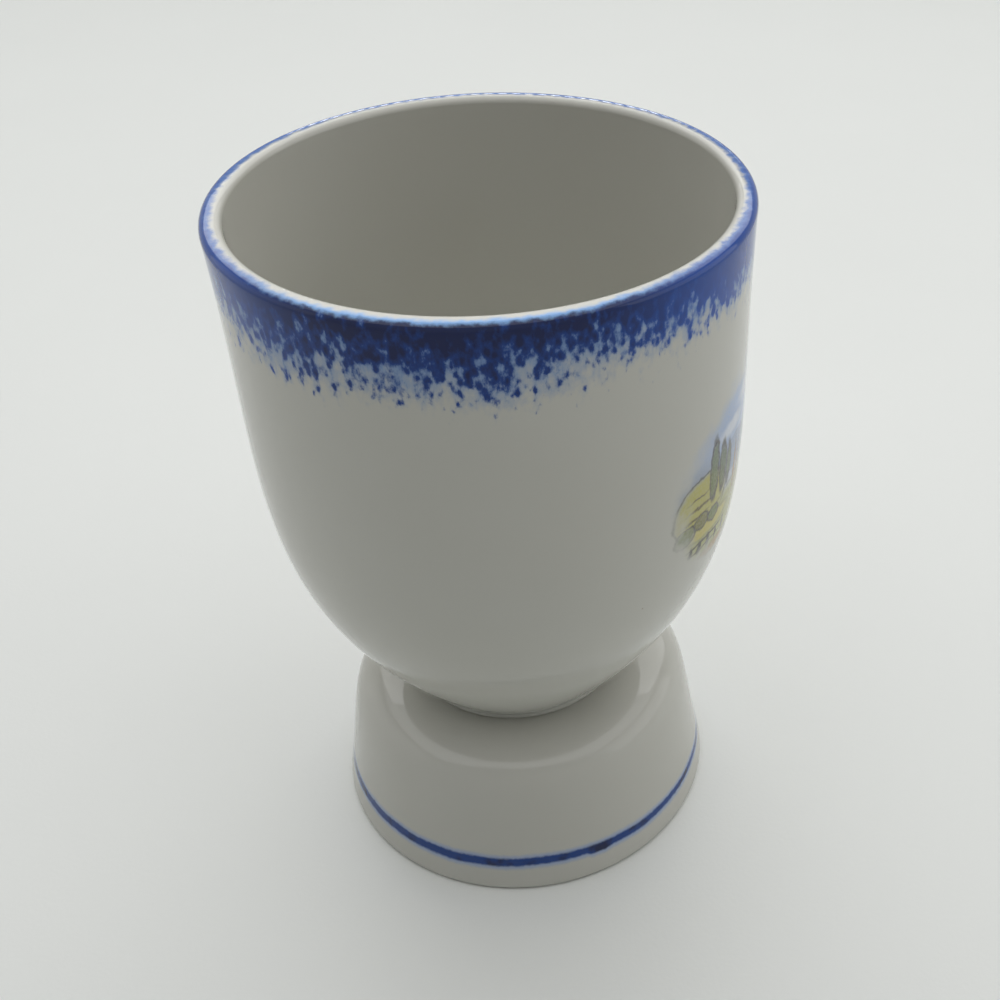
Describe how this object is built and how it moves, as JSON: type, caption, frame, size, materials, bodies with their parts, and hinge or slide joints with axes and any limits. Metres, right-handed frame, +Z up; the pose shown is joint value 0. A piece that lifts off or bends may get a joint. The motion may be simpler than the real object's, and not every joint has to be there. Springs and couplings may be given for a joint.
{
  "type": "double egg cup",
  "caption": "Double egg cup with a tall round-bottomed bowl stuck to a small upturned cup as its foot, glazed, with a sponged blue band at the rim and a painted blue line at the base.",
  "frame": {"origin": "centre of the standing ring, on the table", "axes": "+Z up along the axis of revolution, +X to the right of the side seen in the picture, +Y away from it"},
  "size_m": [0.07, 0.07, 0.105],
  "materials": {
    "glazed_porcelain": "gloss",
    "fired_slip": "gloss"
  },
  "bodies": {
    "root": {"bowl": "glazed_porcelain", "foot": "glazed_porcelain", "slip_joint": "fired_slip"}
  },
  "joints": []
}
